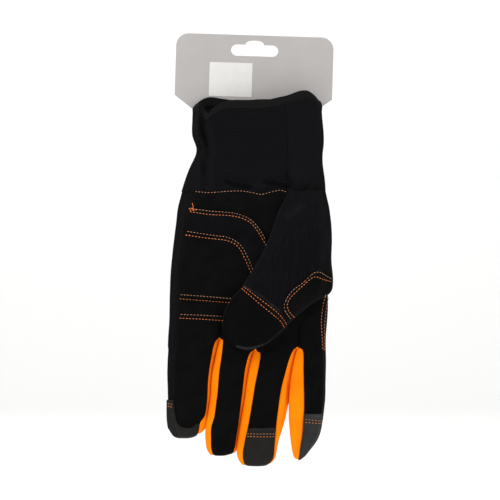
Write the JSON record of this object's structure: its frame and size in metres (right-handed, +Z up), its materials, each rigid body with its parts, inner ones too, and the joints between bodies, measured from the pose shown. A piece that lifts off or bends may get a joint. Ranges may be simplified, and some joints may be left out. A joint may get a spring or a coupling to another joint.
{
  "type": "mechanic glove on a hang card",
  "caption": "Sewn left-hand work glove with a ribbed cuff, bright finger sidewalls and stitched patches, hanging from a plain slotted header card.",
  "frame": {"origin": "top middle of the card's hang slot, in the middle of the card's thickness, where a shop peg carries it", "axes": "+Z up, +X to the viewer's right with the palm towards the viewer, -Y out of the palm; the fingers hang down along -Z"},
  "size_m": [0.1124, 0.0408, 0.2929],
  "materials": {
    "palm_suede": "matte synthetic suede, nearly black",
    "thumb_suede": "matte synthetic suede, nearly black with a cool cast",
    "knit": "fine black stretch knit",
    "elastic": "black shirred elastic with fine cross ribs",
    "binding": "black folded edge tape",
    "fourchette": "bright orange stretch fabric",
    "tip_patch": "charcoal grained synthetic leather",
    "thread": "orange polyester sewing thread",
    "card": "satin coated board, light grey",
    "label": "plain white paper label, blank",
    "pin": "clear white moulded plastic"
  },
  "bodies": {
    "root": {"cuff_elastic_panel": "elastic", "cuff_plain_panel": "knit", "cuff_binding": "binding", "palm_panel": "palm_suede", "palm_band_patch": "palm_suede", "palm_pad_patch": "palm_suede", "back_panel": "knit", "fourchette_little_ring": "fourchette", "fourchette_ring_middle": "fourchette", "fourchette_middle_index": "fourchette", "thumb_shell": "thumb_suede", "thumb_tip_patch": "tip_patch", "thumb_saddle_patch": "tip_patch", "little_tip_patch": "tip_patch", "middle_tip_patch": "tip_patch", "index_tip_patch": "tip_patch", "hang_card": "card", "card_pin": "pin"}
  },
  "joints": []
}
